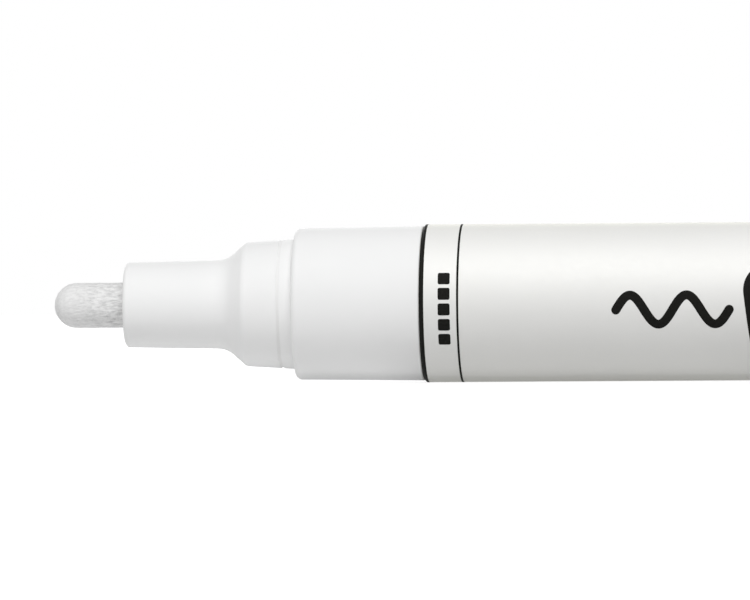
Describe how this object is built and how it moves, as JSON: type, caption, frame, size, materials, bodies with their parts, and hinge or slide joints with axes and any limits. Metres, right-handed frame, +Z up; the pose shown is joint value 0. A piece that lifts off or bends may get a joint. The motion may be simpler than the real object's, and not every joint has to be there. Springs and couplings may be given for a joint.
{
  "type": "paint marker",
  "caption": "Round valve-action paint marker with a bullet nib, stepped nose, pearl-white barrel and a clipped cap posted on its tail.",
  "frame": {"origin": "on the marker's axis, at the middle of the barrel", "axes": "+X along the marker from the nib to the cap, +Z up, with the clip on the +Y side"},
  "size_m": [0.1544, 0.0155, 0.014],
  "materials": {
    "felt_fibre": "bonded fibre",
    "white_plastic": "satin",
    "pearl_shell": "pearl",
    "print_ink": "printed",
    "black_rubber": "matte",
    "valve_plastic": "moulded",
    "spring_steel": "drawn wire",
    "ball_steel": "polished",
    "liner_plastic": "waxy"
  },
  "bodies": {
    "marker": {"barrel": "pearl_shell", "collar": "white_plastic", "collar_seal": "black_rubber", "nib_holder": "white_plastic", "valve_seat": "black_rubber", "valve_cage": "valve_plastic", "valve_spring": "spring_steel", "tail_plug": "white_plastic"},
    "nib": {"nib": "felt_fibre"},
    "valve": {"valve_stem": "valve_plastic"},
    "ball": {"mixing_ball": "ball_steel"},
    "cap": {"cap": "white_plastic", "cap_liner": "liner_plastic"}
  },
  "joints": [
    {"name": "nib_press", "type": "slide", "parent": "marker", "child": "nib", "axis": [1, 0, 0], "range_m": [0, 0.002], "stiffness_N_per_m": 400, "springref_m": -0.001, "deforming": ["valve_spring"]},
    {"name": "valve_lift", "type": "slide", "parent": "marker", "child": "valve", "axis": [1, 0, 0], "range_m": [0, 0.002]},
    {"name": "ball_roll", "type": "slide", "parent": "marker", "child": "ball", "axis": [1, 0, 0], "range_m": [-0.0299, 0.0299]},
    {"name": "cap_pull", "type": "slide", "parent": "marker", "child": "cap", "axis": [1, 0, 0], "range_m": [0, 0.02]}
  ],
  "couplings": [
    {"joint": "valve_lift", "follows": "nib_press", "ratio": 1}
  ]
}
